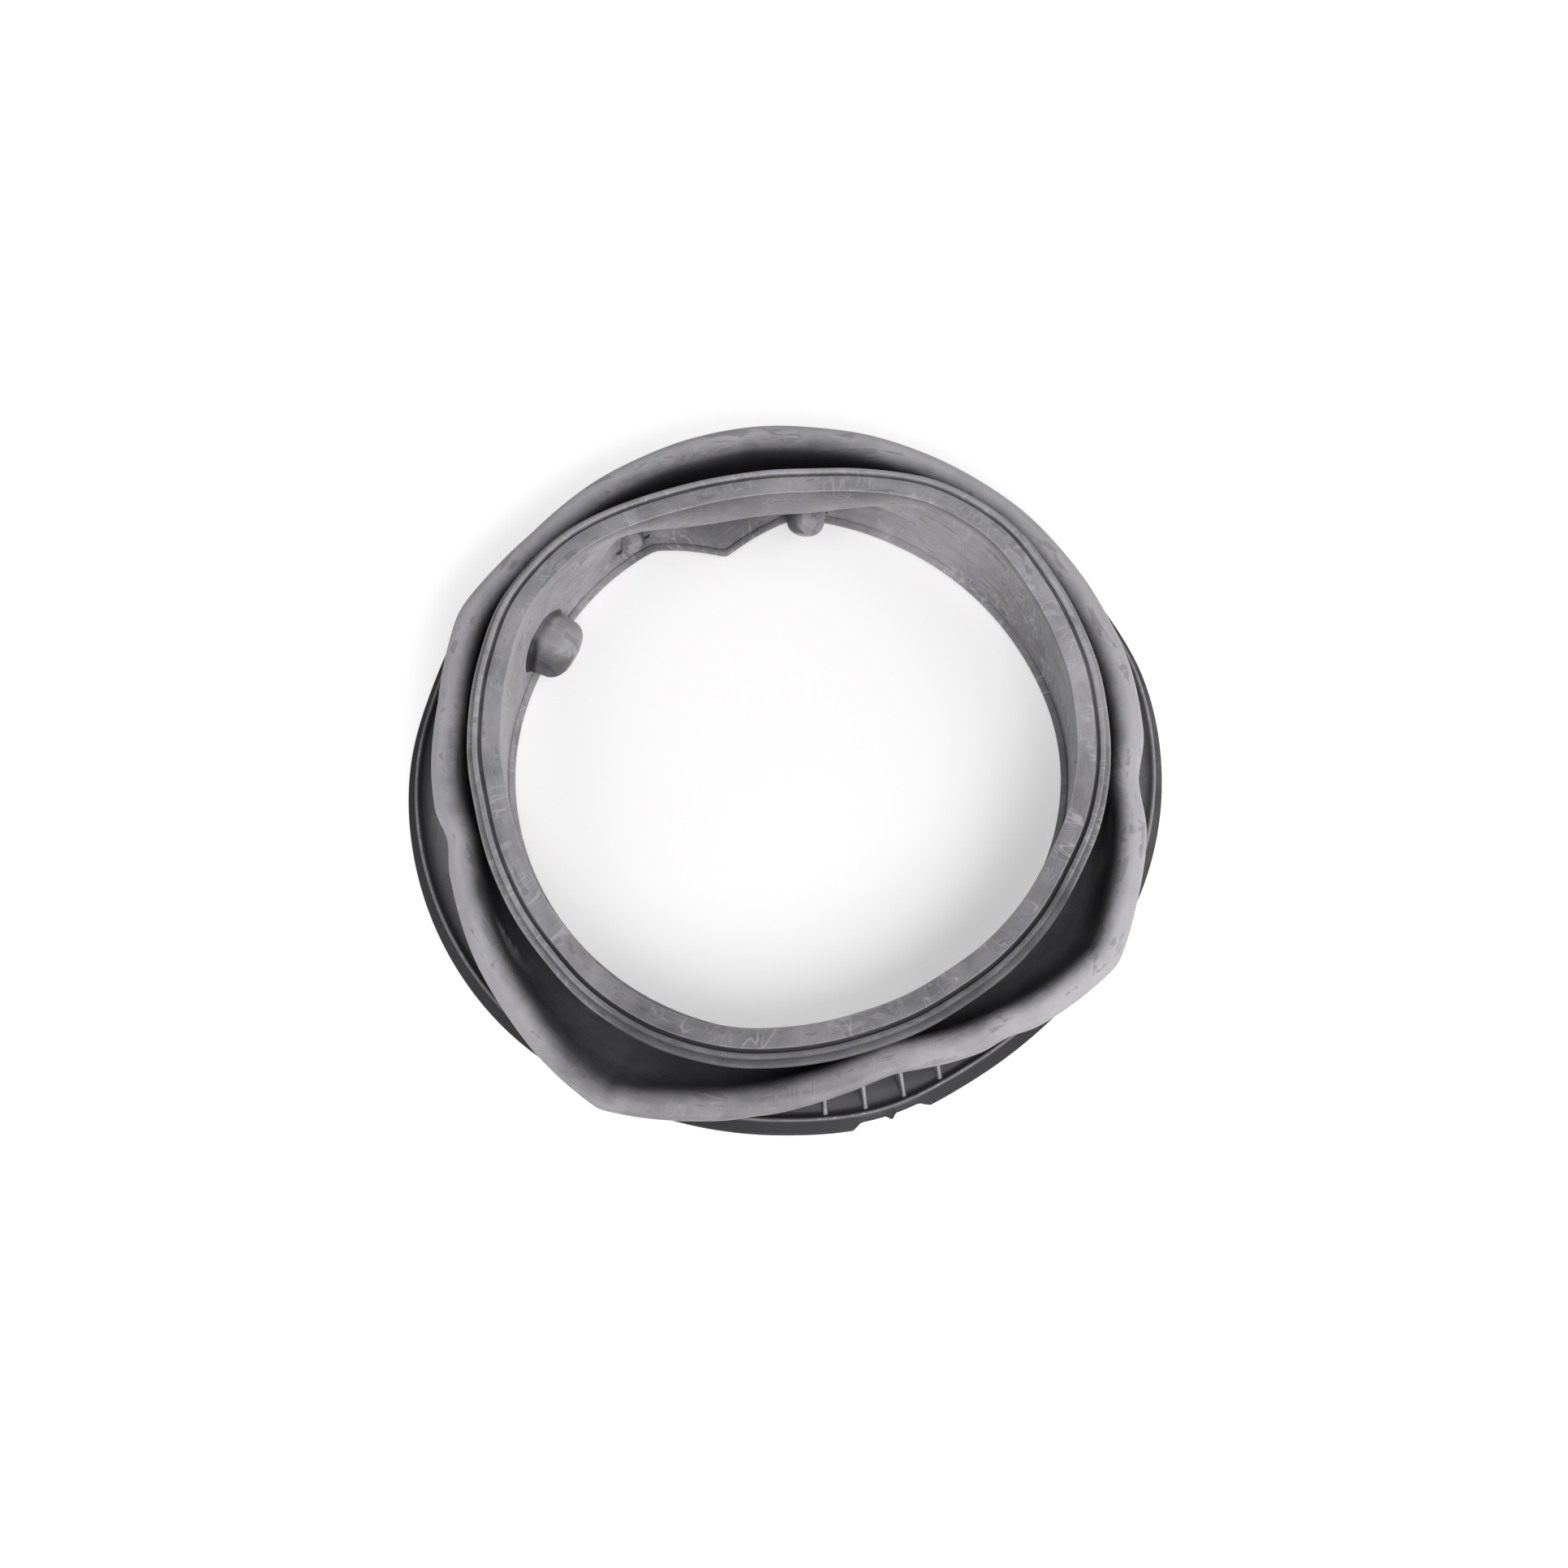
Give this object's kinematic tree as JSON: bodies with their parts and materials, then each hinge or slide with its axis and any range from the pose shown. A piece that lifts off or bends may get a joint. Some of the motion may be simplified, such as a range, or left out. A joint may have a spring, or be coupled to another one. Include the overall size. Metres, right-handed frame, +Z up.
{
  "type": "washing machine door seal",
  "caption": "Ring-shaped rubber bellows seal for a front-loading washer: grooved door lip, deep fold with pulled-out corners, ribbed tub flange, inner ports and a pointed tongue.",
  "frame": {"origin": "middle of the seal's outline, on the plane its tub flange stands on", "axes": "+Z up along the tub axis, from the tub flange to the door lip; +Y towards the tongue that marks the top of the door; +X to the right seen from the door"},
  "size_m": [0.3894, 0.3866, 0.0576],
  "materials": {
    "grey_rubber": "matt moulded rubber with talc"
  },
  "bodies": {
    "root": {"door_seal": "grey_rubber"}
  },
  "joints": []
}
